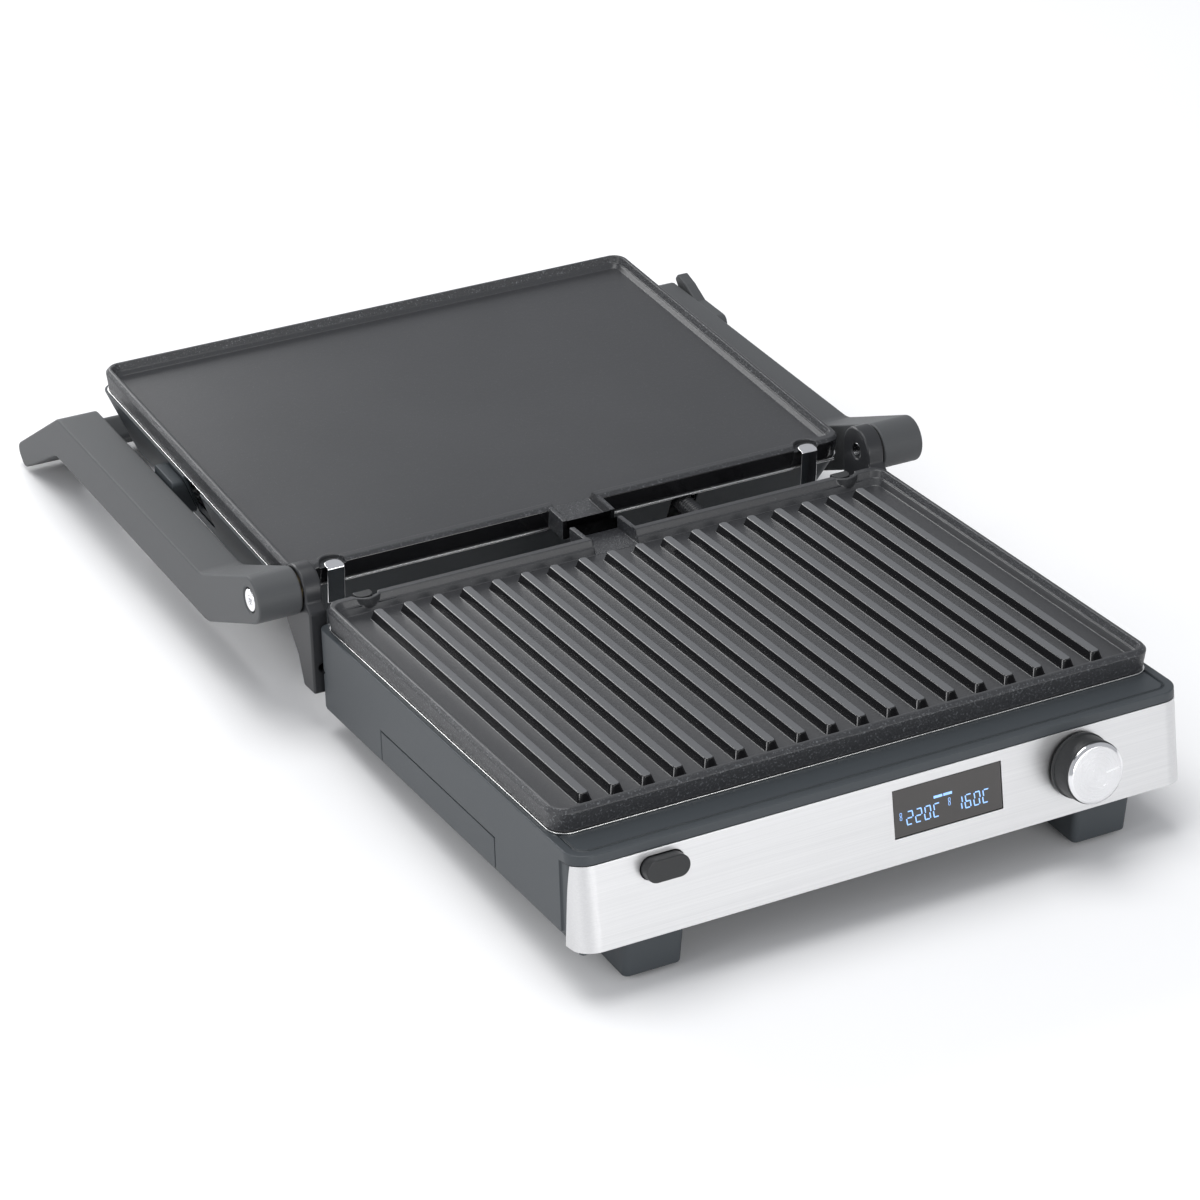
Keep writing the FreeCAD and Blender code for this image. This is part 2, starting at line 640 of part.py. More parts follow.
displayParts()
knobParts()
releaseButton("lower_release_button", "lower_release_spring", dims.buttonX, dims.buttonDrop, -1,
              panelFrame, 0)
latchPlate("lower_release_guide", dims.buttonX, dims.buttonDrop, 0, -1, panelFrame)
LID_BUTTON_DROP, LID_BUTTON_WALL = 33.0, dims.halfGap + dims.plateDepth - 7.1
releaseButton("upper_release_button", "upper_release_spring", dims.buttonX, LID_BUTTON_DROP, 1,
              lidFrame, LID_BUTTON_WALL)
latchPlate("upper_release_guide", dims.buttonX, LID_BUTTON_DROP, LID_BUTTON_WALL, 1, lidFrame)


def electricParts():
    board = box("board_card", 70, 142, -235, -110, -47.4, -45.8)
    relay = box("board_relay", 84, 104, -215, -195, -45.9, -31)
    capacitor = cylinder("board_capacitor", 6, "z", (124, -200, -45.9), 14)
    heatsink = box("board_heatsink", 84, 134, -160, -130, -45.9, -32)
    posts = [cylinder("board_post%d%d" % (x, -y), 3, "z", (x, y, -52.3), 5)
             for x in (75, 137) for y in (-228, -117)]
    part("control_board", fuse("board_joined", board, relay, capacitor, heatsink, *posts))
    block = box("terminal_case", 76, 100, -62, -30, -52.3, -38)
    slots = [box("terminal_slot%d" % index, 78.5 + index * 7, 83.5 + index * 7, -66, -55,
                 -48, -41) for index in range(3)]
    part("terminal_block", cut("terminal_cut", block, *slots))
    flange = cylinder("gland_flange", 6.0, "y", (0, 0.3, 0), 2.0)
    neck = cylinder("gland_neck", 4.85, "y", (0, -6, 0), 6.4)
    boot = cone("gland_boot", 5.7, 4.5, "y", (0, 2.2, 0), 9.4)
    bore = cylinder("gland_bore", dims.leadRound, "y", (0, -14, 0), 40)
    part("mains_lead_gland", cut("gland_cut", fuse("gland_body", flange, neck, boot), bore),
         baseFrame.multiply(glandInBase))


electricParts()


# ---------------------------------------------------------------- grease path
def drainChute():
    """Sloping trough from under both spouts to the drip tray."""
    outer = [(9.5, -26.5), (9.5, -30.9), (-88, -38.2), (-88, -31), (-27, -27.2), (-15, -26.5)]
    inner = [(8, -20), (8, -29.5), (-95, -37.4), (-95, -20)]
    body = padBody("chute_outer", "yz", outer, -14.2, 28.4)
    hollow = padBody("chute_inner", "yz", inner, -12.7, 25.4)
    return part("drain_chute", cut("chute_cut", body, hollow))


def dripTray():
    """Open tub with its flush face on the base's left side."""
    half, low, top = dims.baseHalf, -dims.baseDrop + 0.3, -38.8
    tub = box("tray_tub", 3 - half, dims.trayReach, 0.6 - dims.trayFront, -dims.trayRear - 0.6,
              low, top)
    tub = fillet("tray_tub_round", tub, 6, lambda way, mid: abs(way.z) > 0.9 and mid.x > 0)
    hollow = box("tray_hollow", 5 - half, dims.trayReach - 1.8, 2.4 - dims.trayFront,
                 -dims.trayRear - 2.4, low + 1.8, 0)
    hollow = fillet("tray_hollow_round", hollow, 4.2, upright)
    face = box("tray_face", -half, 3.2 - half, -dims.trayFront, -dims.trayRear, low,
               -dims.trayTop)
    return part("drip_tray", fuse("tray_joined", cut("tray_cut", tub, hollow), face))


drainChute()
dripTray()


# ---------------------------------------------------------------- feet
def level(solid):
    """Turns a block built level with the table into the leaning base frame."""
    turned = group(solid.Name + "_level", [solid])
    turned.Placement = baseFrame.inverse()
    return turned


def footSet(label, half, width, front, rear, pad):
    """A pair of feet whose bottoms are level with the table, and their rubber pads."""
    above = level(box(label + "_above", -400, 400, -400, 400, 2.2, 120))
    slab = level(box(label + "_slab", -400, 400, -400, 400, 0, 2.2))
    legs, pads = [], []
    for hand in (-1, 1):
        inner, outer = size(half) * hand, (size(half) + width) * hand
        x0, x1 = (inner, outer) if hand > 0 else (outer, inner)
        leg = wedge("%s_leg%d" % (label, hand), (x0 + 1.5, x1 - 1.5, front + 4, rear - 3),
                    (x0, x1, front, rear), -90, -dims.baseDrop - 2.6)
        leg = fillet("%s_leg_round%d" % (label, hand), leg, 3,
                     lambda way, mid: abs(way.z) > 0.8)
        legs.append(common("%s_leg_cut%d" % (label, hand), leg, above))
        rubber = wedge("%s_rubber%d" % (label, hand), (x0 + 4, x1 - 4, front + 7, rear - 6),
                       (x0 + 4, x1 - 4, front + 7, rear - 6), -90, -dims.baseDrop - 6)
        pads.append(common("%s_pad_cut%d" % (label, hand), rubber, slab))
    part(label, group(label + "_pair", legs))
    part(pad, group(pad + "_pair", pads))


footSet("front_feet", 98, 30, -268, -236, "front_foot_pads")
footSet("rear_feet", 92, 30, -52, -22, "rear_foot_pads")


# ---------------------------------------------------------------- main hinge
def bracketOutline():
    rear, dome, high = -dims.baseRear + 0.1, 12.0, dims.hingeHigh
    return [(rear, -47), (rear, -6), (-dome, -2), (-dome, high + dome), (dome, high + dome),
            (dome, -20), (1, -33), (-4, -47)]


def hingeBracket(label, hand):
    inner, wide = dims.bracketInner, dims.bracketOuter - dims.bracketInner
    start = inner if hand > 0 else -inner - wide
    plate = padBody(label + "_plate", "yz", bracketOutline(), start, wide,
                    [((3, 4), 11.8), ((5, 6), 4)])
    bore = cylinder(label + "_bore", dims.boltRound, "x",
                    (start - 1, 0, dims.hingeHigh), wide + 2)
    screw = cylinder(label + "_screw_bore", 2.0, "y",
                     (dims.bracketInner * hand + 3.4 * hand, -18, -34), 8)
    return part(label, cut(label + "_cut", plate, bore, screw))


hingeBracket("left_hinge_bracket", -1)
hingeBracket("right_hinge_bracket", 1)


def hingeBolts():
    """Socket-head bolts that each arm turns on, and the washers between arm and bracket."""
    bolts, washers = [], []
    outer = dims.armInner + dims.armWide
    for hand in (-1, 1):
        start = dims.bracketInner + 0.6 if hand > 0 else 3.6 - outer
        shank = cylinder("bolt_shank%d" % hand, dims.boltRound, "x",
                         (start, 0, dims.hingeHigh), outer - 3.5 - dims.bracketInner - 0.7)
        headStart = outer - 3.7 if hand > 0 else 0.3 - outer
        head = cylinder("bolt_head%d" % hand, 5.5, "x", (headStart, 0, dims.hingeHigh), 3.4)
        socket = doc.addObject("Part::Prism", "bolt_socket%d" % hand)
        socket.Polygon = 6
        bind(socket, "Circumradius", 2.6)
        bind(socket, "Height", 2.4)
        socketStart = outer - 2.4 if hand > 0 else -outer
        socket.Placement = Placement(Vector(socketStart.value, 0, dims.hingeHigh.value),
                                     AXIS_TURNS["x"])
        bolts.append(cut("bolt_cut%d" % hand, fuse("bolt_joined%d" % hand, shank, head), socket))
        discStart = dims.bracketOuter + 0.05 if hand > 0 else -dims.bracketOuter - 0.55
        disc = cylinder("washer_disc%d" % hand, 8, "x", (discStart, 0, dims.hingeHigh), 0.5)
        hole = cylinder("washer_hole%d" % hand, dims.boltRound + 0.05, "x",
                        (discStart - 1, 0, dims.hingeHigh), 3)
        washers.append(cut("washer_cut%d" % hand, disc, hole))
    part("hinge_bolts", group("hinge_bolt_pair", bolts))
    part("hinge_washers", group("hinge_washer_pair", washers))


hingeBolts()


def baseScrews():
    """Pan-head screws that hold the bottom cover."""
    low = -dims.baseDrop - 2.55
    screws = []
    for x, y in UNDER_SCREWS:
        head = cylinder("under_head%d_%d" % (x, -y), 3.6, "z", (x, y, low - 1.6), 1.6)
        bar = cylinder("under_bar%d_%d" % (x, -y), SCREW_BAR, "z", (x, y, low - 0.1), 7)
        screws.append(fuse("under_screw%d_%d" % (x, -y), head, bar))
    part("bottom_screws", group("bottom_screw_set", screws))


baseScrews()


# ---------------------------------------------------------------- arms and handle
KINK_TOP, KINK_LOW = (59.5, -10.2), (54.5, -33.2)
FOLD_TOP, FOLD_LOW = (243.0, 1.3), (250.0, -21.5)
TIP_TOP, TIP_LOW = (309.5, -37.6), (299.5, -47.4)


def armOutline():
    """Side view: round barrel at the hinge, down to the kink, level, then down to the tip."""
    fall = math.radians(21.7)
    along, across = (math.cos(fall), -math.sin(fall)), (math.sin(fall), math.cos(fall))
    barrel = dims.barrelRound
    upper = (barrel * (across[0] - along[0]),
             dims.hingeHigh + barrel * (across[1] - along[1]))
    lower = (-barrel * (across[0] + along[0]),
             dims.hingeHigh - barrel * (across[1] + along[1]))
    return [lower, KINK_LOW, FOLD_LOW, TIP_LOW, TIP_TOP, FOLD_TOP, KINK_TOP, upper]


def arm(label, hand):
    """One arm, with the bore and recess for the hinge bolt and the hole for the lid's pin."""
    inner, wide, high = dims.armInner, dims.armWide, dims.hingeHigh
    start = inner if hand > 0 else -inner - wide
    bar = padBody(label + "_bar", "yz", armOutline(), start, wide,
                  [((0, 7), dims.barrelRound - 0.1), ((1, 6), 18), ((2,), 13), ((5,), 8),
                   ((3, 4), 5)])
    bore = cylinder(label + "_bore", dims.boltRound + dims.runFit, "x",
                    (start - 1, 0, high), wide + 2)
    recessStart = inner + wide - 3.9 if hand > 0 else -inner - wide - 1
    recess = cylinder(label + "_recess", 6.2, "x", (recessStart, 0, high), 4.9)
    pivot = lidInBase.multVec(Vector(0, dims.pivotY.value, -dims.pivotDrop.value))
    pinStart = inner - 1 if hand > 0 else -inner - 12
    pinHole = cylinder(label + "_pin_hole", 4 + dims.runFit, "x", (pinStart, pivot.y, pivot.z), 13)
    tools = [bore, recess, pinHole]
    if hand > 0:
        tools.append(cylinder(label + "_lever_hole", 2.5, "x",
                              (inner + wide - 6, LEVER_PIVOT[0], LEVER_PIVOT[1]), 7))
    return part(label, cut(label + "_cut", bar, *tools))


LEVER_PIVOT = (204.0, -9.0)
arm("left_arm", -1)
arm("right_arm", 1)


def handleBar():
    """Grip between the arms' end portions."""
    outline = [(264, -27.4), (272.5, -17.0), (308.6, -37.9), (299.6, -46.7)]
    grip = padBody("handle_grip", "yz", outline, 0.05 - dims.armInner,
                   dims.armInner * 2 - 0.1, [((0, 1), 2.4), ((2, 3), 5)])
    bores = [cylinder("handle_bore%d" % hand, 2, "x",
                      (-160 if hand < 0 else 140, 281, -29.5), 20) for hand in (-1, 1)]
    part("handle_bar", cut("handle_cut", grip, *bores))
    screws = [cylinder("handle_screw%d" % hand, 2, "x",
                       (-155.9 if hand < 0 else 140.2, 281, -29.5), 15.7)
              for hand in (-1, 1)]
    part("handle_screws", group("handle_screw_pair", screws))


handleBar()


def releaseLever():
    """Thumb lever on the right arm's outer side, on its pin, with its small spring."""
    outer = dims.armInner + dims.armWide
    y, z = LEVER_PIVOT
    outline = [(196, -14), (213, -12), (236, -4.5), (243, 3), (240, 6.4), (231, 3.4),
               (220, -2.5), (196, -4)]
    plate = padBody("lever_plate", "yz", outline, outer + 0.6, 6.2,
                    [((0, 7), 4.6), ((2, 5), 8), ((3, 4), 1.6)])
    bore = cylinder("lever_bore", 2.5 + dims.runFit, "x", (outer, y, z), 12)
    part("release_lever", cut("lever_cut", plate, bore))
    shank = cylinder("lever_pin_shank", 2.5, "x", (outer - 5.9, y, z), 12.9)
    head = cylinder("lever_pin_head", 4.2, "x", (outer + 6.9, y, z), 1.1)
    part("lever_pin", fuse("lever_pin_joined", shank, head))


releaseLever()


# ---------------------------------------------------------------- lid
def lidRect(inset):
    half = dims.baseHalf - 1.2 - inset
    return (-half, half, dims.halfGap + 2.4 + inset, dims.halfGap + dims.plateDepth + 0.9 - inset)


def lidHousing():
    """Tapered casing under the flat plate, open at the bottom where the outer cover fits."""
    top, low, wall = -dims.deckDrop, -dims.lidDeep, dims.wallThick
    block = wedge("lid_block", lidRect(dims.lidTaper), lidRect(0), low, top)
    block = fillet("lid_block_round", block, 9, upright)
    hollow = wedge("lid_hollow", lidRect(dims.lidTaper + wall), lidRect(wall), low - 0.5,
                   top - wall)
    opening = wedge("lid_opening", plateRect(12, 1), plateRect(12, 1), -30, 0)
    recesses = []
    for hand in (-1, 1):
        x0, x1 = (142, 156) if hand > 0 else (-156, -142)
        recesses.append(box("lid_recess%d" % hand, x0, x1, 124, 143.5, -33, 0))
    slot = box("lid_conduit_slot", dims.conduitX - 7, dims.conduitX + 7, 10, 36, -30, -11)
    buttonHole = ovalPair("lid_button_hole", dims.buttonX, LID_BUTTON_DROP,
                          dims.buttonWide + 0.9, dims.buttonTall + 0.9, 235, 25)
    bosses = []
    for hand in (-1, 1):
        bosses.append(cylinder("lid_pin_hole%d" % hand, 4, "x",
                               (130 if hand > 0 else -160, dims.pivotY, -dims.pivotDrop), 30))
    clipSlots = [box("lid_clip_slot%d" % hand, dims.notchOffset * hand - 5,
                     dims.notchOffset * hand + 5, 10, dims.halfGap + 1, -24, -8)
                 for hand in (-1, 1)]
    lidBlocks.append(block)
    solid = cut("lid_cut", block, hollow, opening, slot, buttonHole, *(recesses + bosses
                                                                      + clipSlots))
    part("lid_housing", solid, lidFrame)
    sheet_ = wedge("lid_cover_sheet", lidRect(dims.lidTaper + 3.2), lidRect(dims.lidTaper + 3),
                   low - 1.6, low - 0.1)
    part("lid_cover", fillet("lid_cover_round", sheet_, 7, upright), lidFrame)


lidBlocks = []
lidHousing()


def lidPivots():
    """Bosses on the lid's sides and the steel pins that hang the lid in the arms."""
    bosses, pins = [], []
    for hand in (-1, 1):
        x0, x1 = (143, 155.4) if hand > 0 else (-155.4, -143)
        lug = box("boss_block%d" % hand, x0, x1, 145, 168, -35, -15.5)
        lug = fillet("boss_round%d" % hand, lug, 2.5, lambda way, mid: abs(way.x) > 0.9)
        hole = cylinder("boss_hole%d" % hand, 4, "x",
                        (x0 - 1, dims.pivotY, -dims.pivotDrop), 16)
        bosses.append(cut("boss_cut%d" % hand, lug, hole, lidBlocks[0]))
        pins.append(cylinder("pivot_pin%d" % hand, 4, "x",
                             (138 if hand > 0 else -166, dims.pivotY, -dims.pivotDrop), 28))
    part("lid_pivot_bosses", group("pivot_boss_pair", bosses), lidFrame)
    part("lid_pivot_pins", group("pivot_pin_pair", pins), lidFrame)


lidPivots()


def conduitParts():
    """Corrugated sleeve for the lid's wires, from the base's rear wall into the lid."""
    frame = baseFrame.multiply(conduitInBase)
    collar = cylinder("collar_flange", 6.6, "y", (0, 8.65, 0), 1.6)
    neck = cylinder("collar_neck", 5.35, "y", (0, 3, 0), 6)
    bore = cylinder("collar_bore", dims.conduitRound + 0.1, "y", (0, -6, 0), 30)
    part("conduit_collar", cut("collar_cut", fuse("collar_body", collar, neck), bore), frame)
    sleeve = cylinder("conduit_sleeve", dims.conduitRound, "y", (0, 0, 0), 56)
    part("cable_conduit", sleeve, frame)


conduitParts()

# ---------------------------------------------------------------- checks and files
doc.recompute()
for obj in doc.Objects:
    if "Invalid" in obj.State or "Error" in obj.State:
        raise RuntimeError("%s (%s) failed: %s" % (obj.Name, obj.Label, obj.State))
box_ = FreeCAD.BoundBox()
for solid in subParts:
    shape = solid.Shape
    if shape.isNull() or not shape.isValid() or not shape.Solids:
        raise RuntimeError("%s has no valid solid" % solid.Label)
    shape.exportStep("parts/%s.step" % solid.Label)
    box_.add(shape.BoundBox)
    print("%-28s solids %2d volume %9.0f mm3" % (solid.Label, len(shape.Solids), shape.Volume))
print("parts", len(subParts), "box", [round(v, 2) for v in (
    box_.XMin, box_.XMax, box_.YMin, box_.YMax, box_.ZMin, box_.ZMax)])
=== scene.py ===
import bmesh
import bpy
import json
from math import pi, radians, sin
from mathutils import Matrix, Vector


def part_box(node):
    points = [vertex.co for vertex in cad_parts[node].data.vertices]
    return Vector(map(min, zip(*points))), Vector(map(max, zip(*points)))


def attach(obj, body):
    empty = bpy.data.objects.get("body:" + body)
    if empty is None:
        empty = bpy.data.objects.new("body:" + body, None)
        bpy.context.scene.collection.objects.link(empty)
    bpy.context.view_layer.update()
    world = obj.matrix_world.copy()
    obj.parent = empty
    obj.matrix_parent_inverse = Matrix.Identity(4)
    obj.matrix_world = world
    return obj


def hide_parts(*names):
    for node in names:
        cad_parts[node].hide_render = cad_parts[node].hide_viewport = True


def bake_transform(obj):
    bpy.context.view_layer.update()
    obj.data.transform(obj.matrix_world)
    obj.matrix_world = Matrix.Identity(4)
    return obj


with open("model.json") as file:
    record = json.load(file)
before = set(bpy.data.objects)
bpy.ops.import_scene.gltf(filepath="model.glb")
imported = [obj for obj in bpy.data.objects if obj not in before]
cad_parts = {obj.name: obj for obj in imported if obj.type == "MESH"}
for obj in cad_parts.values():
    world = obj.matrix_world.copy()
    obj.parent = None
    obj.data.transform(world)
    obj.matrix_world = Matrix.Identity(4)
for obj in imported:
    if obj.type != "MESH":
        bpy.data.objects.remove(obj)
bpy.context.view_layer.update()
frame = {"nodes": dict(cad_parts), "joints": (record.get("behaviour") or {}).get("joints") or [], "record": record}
nodes = frame["nodes"]
joints = {joint["name"]: joint for joint in frame["joints"]}
bodyOf = {node: body for body, names in frame["record"]["behaviour"]["bodies"].items()
          for node in names}
mm = 0.001

# the base leans back, its front panel leans further, and the lid rises a little
tilt = {"base": -3.3, "panel": -7.3, "lid": 5.04}
leanTurn = Matrix.Rotation(radians(tilt["base"]), 3, "X")
panelTurn = Matrix.Rotation(radians(tilt["base"] + tilt["panel"]), 3, "X")
lidTurn = Matrix.Rotation(radians(tilt["base"] + tilt["lid"]), 3, "X")

# local origins, worked back from the joints that the record states
axisInBase = Vector((0, 0, 1)) * mm
pivotInLid = Vector((0, 155.1, -28.2)) * mm
baseOrigin = Vector(joints["lid_swing"]["pos_m"]) - leanTurn @ axisInBase
lidOrigin = Vector(joints["lid_float"]["pos_m"]) - lidTurn @ pivotInLid
middlePlane = sum(corner.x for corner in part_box("base_housing")) / 2


def basePoint(x, y, z):
    point = baseOrigin + leanTurn @ (Vector((0, y, z)) * mm)
    return Vector((middlePlane + x * mm, point.y, point.z))


def lidPoint(x, y, z):
    point = lidOrigin + lidTurn @ (Vector((0, y, z)) * mm)
    return Vector((middlePlane + x * mm, point.y, point.z))


def middleOf(node):
    low, high = (Vector(corner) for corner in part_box(node))
    return (low + high) / 2


# shader sockets as values, so that a mask reads as a sum
class Field:
    def __init__(self, tree, socket):
        self.tree, self.socket = tree, socket

    def _math(self, operation, first, second):
        return addNode(self.tree, "ShaderNodeMath", {"operation": operation},
                       {0: first, 1: second})

    def __add__(self, other):
        return self._math("ADD", self, other)

    def __radd__(self, other):
        return self._math("ADD", other, self)

    def __sub__(self, other):
        return self._math("SUBTRACT", self, other)

    def __rsub__(self, other):
        return self._math("SUBTRACT", other, self)

    def __mul__(self, other):
        return self._math("MULTIPLY", self, other)

    def __rmul__(self, other):
        return self._math("MULTIPLY", other, self)


def addNode(tree, kind, settings=None, inputs=None, output=0):
    node = tree.nodes.new(kind)
    for name, value in (settings or {}).items():
        if name == "stops":
            ramp = node.color_ramp.elements
            for index, (place, colour) in enumerate(value):
                stop = ramp[index] if index < 2 else ramp.new(place)
                stop.position, stop.color = place, colour
        else:
            setattr(node, name, value)
    for name, value in (inputs or {}).items():
        if isinstance(value, Field):
            tree.links.new(value.socket, node.inputs[name])
        else:
            node.inputs[name].default_value = value
    return Field(tree, node.outputs[output])


def newMaterial(name, fixed):
    material = bpy.data.materials.new(name)
    material.use_nodes = True
    tree = material.node_tree
    shader = tree.nodes["Principled BSDF"]
    for socket, value in fixed.items():
        shader.inputs[socket].default_value = value
    place = addNode(tree, "ShaderNodeTexCoord", output=3)
    return material, tree, shader, place


def feed(tree, shader, links):
    for socket, field in links.items():
        tree.links.new(field.socket, shader.inputs[socket])


def noise(tree, place, scale, detail=4.0, rough=0.55):
    return addNode(tree, "ShaderNodeTexNoise", {},
                   {"Vector": place, "Scale": scale, "Detail": detail, "Roughness": rough})


def bump(tree, height, strength, distance):
    return addNode(tree, "ShaderNodeBump", {},
                   {"Height": height, "Strength": strength, "Distance": distance})


def tint(tree, factor, dark, light):
    return addNode(tree, "ShaderNodeMix", {"data_type": "RGBA"},
                   {0: factor, 6: dark, 7: light}, output=2)


def ramp(tree, field, *stops):
    shades = [(place, (level, level, level, 1)) for place, level in stops]
    return addNode(tree, "ShaderNodeValToRGB", {"stops": shades}, {"Fac": field})


def stretched(tree, place, scale):
    return addNode(tree, "ShaderNodeMapping", {}, {"Vector": place, "Scale": scale})


# finishes
def mouldedPlastic(name, dark, light, rough, grain, grainSize, sheen=0.0):
    material, tree, shader, place = newMaterial(name, {"Specular IOR Level": 0.42,
                                                       "Sheen Weight": sheen})
    broad = noise(tree, place, 9, 3)
    fine = noise(tree, place, grainSize, 2, 0.6)
    feed(tree, shader, {
        "Base Color": tint(tree, broad, dark, light),
        "Roughness": broad * 0.08 + fine * 0.07 + (rough - 0.075),
        "Normal": bump(tree, fine, grain, 0.0002)})
    return material


def coatedFloor():
    # satin non-stick coat: soft orange-peel, faint paler specks
    material, tree, shader, place = newMaterial("nonstickFloor", {"Specular IOR Level": 0.55})
    broad = noise(tree, place, 14, 3)
    peel = noise(tree, place, 420, 3)
    specks = noise(tree, place, 1500, 2, 0.7)
    flecks = ramp(tree, specks, (0.62, 0), (0.72, 1))
    base = tint(tree, broad, (0.026, 0.027, 0.029, 1), (0.036, 0.037, 0.04, 1))
    feed(tree, shader, {
        "Base Color": tint(tree, flecks * 0.35, base, (0.16, 0.165, 0.17, 1)),
        "Roughness": 0.3 + broad * 0.06 + peel * 0.06,
        "Normal": bump(tree, peel * 0.7 + specks * 0.3, 0.22, 0.00025)})
    return material


def coatedRim():
    # the rims and skirts carry a coarse sparkling grain
    material, tree, shader, place = newMaterial("nonstickRim", {"Specular IOR Level": 0.6})
    grain = noise(tree, place, 900, 3, 0.75)
    cells = addNode(tree, "ShaderNodeTexVoronoi", {}, {"Vector": place, "Scale": 1300})
    flecks = ramp(tree, grain, (0.56, 0), (0.68, 1))
    feed(tree, shader, {
        "Base Color": tint(tree, flecks * 0.7, (0.02, 0.021, 0.024, 1),
                           (0.17, 0.18, 0.19, 1)),
        "Roughness": 0.42 - flecks * 0.14,
        "Normal": bump(tree, grain + cells * 0.5, 0.55, 0.0004)})
    return material


def brushedSteel():
    # long fine horizontal scratches over a faint cloudy polish
    material, tree, shader, place = newMaterial("brushedSteel", {"Metallic": 1.0})
    scratches = noise(tree, stretched(tree, place, (6, 900, 1500)), 1.0, 5, 0.7)
    hair = noise(tree, stretched(tree, place, (18, 3200, 4200)), 1.0, 3, 0.7)
    cloud = noise(tree, stretched(tree, place, (5, 12, 12)), 1.0, 2)
    line = scratches * 0.6 + hair * 0.4
    feed(tree, shader, {
        "Base Color": tint(tree, line, (0.52, 0.52, 0.525, 1), (0.8, 0.8, 0.8, 1)),
        "Roughness": 0.26 + line * 0.16 + cloud * 0.05,
        "Normal": bump(tree, line, 0.16, 0.0001)})
    return material


def spunAluminium(centre, turn):
    # turned face: fine rings round the knob's own centre
    material, tree, shader, place = newMaterial("spunAluminium", {"Metallic": 1.0})
    lean = turn.to_euler()
    away = addNode(tree, "ShaderNodeVectorMath", {"operation": "SUBTRACT"},
                   {0: place, 1: tuple(centre)})
    flat = addNode(tree, "ShaderNodeVectorRotate", {"rotation_type": "EULER_XYZ",
                                                    "invert": True},
                   {"Vector": away, "Rotation": tuple(lean)})
    spread = addNode(tree, "ShaderNodeVectorMath", {"operation": "MULTIPLY"},
                     {0: flat, 1: (1, 0, 1)})
    reach = addNode(tree, "ShaderNodeVectorMath", {"operation": "LENGTH"}, {0: spread},
                    output=1)
    rings = addNode(tree, "ShaderNodeTexNoise", {"noise_dimensions": "1D"},
                    {"W": reach, "Scale": 5200.0, "Detail": 3.0})
    feed(tree, shader, {
        "Base Color": tint(tree, rings, (0.62, 0.62, 0.63, 1), (0.86, 0.86, 0.87, 1)),
        "Roughness": 0.2 + rings * 0.12,
        "Normal": bump(tree, rings, 0.35, 0.0001)})
    return material


def polished(name, colour, rough, metallic=1.0, coat=0.0):
    material, tree, shader, place = newMaterial(name, {"Metallic": metallic,
                                                       "Coat Weight": coat,
                                                       "Coat Roughness": 0.08})
    smear = noise(tree, place, 60, 4)
    pale = tuple(min(1.0, part * 1.12) for part in colour)
    feed(tree, shader, {
        "Base Color": tint(tree, smear, (*colour, 1), (*pale, 1)),
        "Roughness": rough + smear * 0.08,
        "Normal": bump(tree, noise(tree, place, 260, 2), 0.03, 0.0001)})
    return material


def heatTinted():
    # element tube: grey with straw and violet bands from heat
    material, tree, shader, place = newMaterial("heatTintedTube", {"Metallic": 0.9})
    patch = noise(tree, place, 26, 4)
    feed(tree, shader, {
        "Base Color": tint(tree, patch, (0.16, 0.14, 0.14, 1), (0.34, 0.28, 0.2, 1)),
        "Roughness": 0.42 + patch * 0.2,
        "Normal": bump(tree, noise(tree, place, 700, 2), 0.2, 0.0002)})
    return material


def glowing(name, colour, strength):
    material, tree, shader, place = newMaterial(name, {"Roughness": 0.5,
                                                       "Emission Strength": strength})
    flicker = noise(tree, place, 400, 1)
    dim = tuple(part * 0.82 for part in colour)
    shade = tint(tree, flicker, (*dim, 1), (*colour, 1))
    feed(tree, shader, {"Base Color": shade, "Emission Color": shade})
    return material


def smokedGlass():
    # the display's window reads as a dark warm grey under a clear face
    material, tree, shader, place = newMaterial("smokedGlass", {"Coat Weight": 0.5,
                                                               "Coat Roughness": 0.05})
    haze = noise(tree, place, 30, 3)
    feed(tree, shader, {
        "Base Color": tint(tree, haze, (0.03, 0.027, 0.025, 1), (0.042, 0.038, 0.036, 1)),
        "Roughness": 0.16 + haze * 0.06})
    return material


